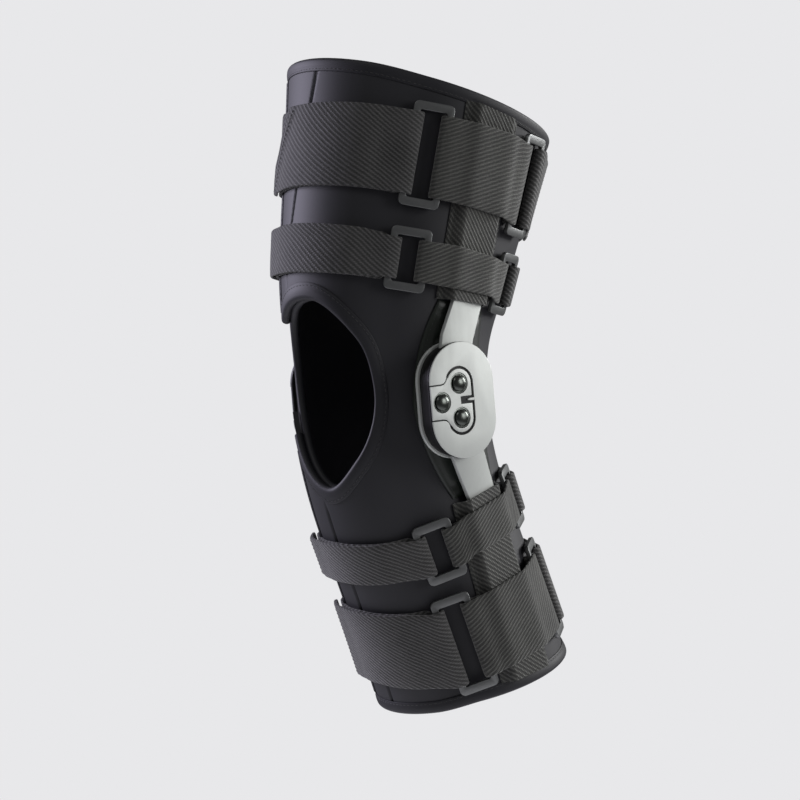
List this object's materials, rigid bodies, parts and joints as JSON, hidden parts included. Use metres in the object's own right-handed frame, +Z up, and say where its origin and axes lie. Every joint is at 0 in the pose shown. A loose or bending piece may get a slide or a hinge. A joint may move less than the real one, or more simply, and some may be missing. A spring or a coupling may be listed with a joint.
{
  "type": "hinged knee brace",
  "caption": "Hinged knee brace: a bent neoprene sleeve with an open kneecap window, metal side hinges with stays in webbing pockets, and wide and narrow straps threaded through flat rings.",
  "frame": {"origin": "middle of the knee, on the leg's axis at the height of the hinges", "axes": "+Z up the thigh as worn standing, -Y to the front of the knee, +X to the outer side, with the single-sided flap edge"},
  "size_m": [0.163, 0.1933, 0.3919],
  "materials": {
    "neoprene": "matt",
    "binding": "matt",
    "webbing": "matt",
    "strap": "matt",
    "ring": "satin",
    "aluminium": "satin",
    "plate": "satin",
    "core": "satin",
    "leathercloth": "satin",
    "rivet": "polished"
  },
  "bodies": {
    "root": {"sleeve": "neoprene", "thigh_rim_tape": "binding", "calf_rim_tape": "binding", "opening_tape_lateral": "binding", "opening_tape_medial": "binding", "flap_tape_thigh": "binding", "flap_tape_calf": "binding", "hinge_pad_lateral": "leathercloth", "hinge_back_plate_lateral": "plate", "hinge_core_lateral": "core", "hinge_front_plate_lateral": "plate", "hinge_insert_lateral": "plate", "rivet_upper_lateral": "rivet", "rivet_lower_lateral": "rivet", "rivet_front_lateral": "rivet", "thigh_arm_lateral": "aluminium", "thigh_pocket_lateral": "webbing", "calf_arm_lateral": "aluminium", "calf_pocket_lateral": "webbing", "hinge_pad_medial": "leathercloth", "hinge_back_plate_medial": "plate", "hinge_core_medial": "core", "hinge_front_plate_medial": "plate", "hinge_insert_medial": "plate", "rivet_upper_medial": "rivet", "rivet_lower_medial": "rivet", "rivet_front_medial": "rivet", "thigh_arm_medial": "aluminium", "thigh_pocket_medial": "webbing", "calf_arm_medial": "aluminium", "calf_pocket_medial": "webbing", "front_ring_thigh_upper": "ring", "rear_ring_thigh_upper": "ring", "side_webbing_thigh_upper": "webbing", "strap_thigh_upper": "strap", "front_ring_thigh_lower": "ring", "rear_ring_thigh_lower": "ring", "side_webbing_thigh_lower": "webbing", "strap_thigh_lower": "strap", "front_ring_calf_upper": "ring", "rear_ring_calf_upper": "ring", "side_webbing_calf_upper": "webbing", "strap_calf_upper": "strap", "front_ring_calf_lower": "ring", "rear_ring_calf_lower": "ring", "side_webbing_calf_lower": "webbing", "strap_calf_lower": "strap"}
  },
  "joints": []
}
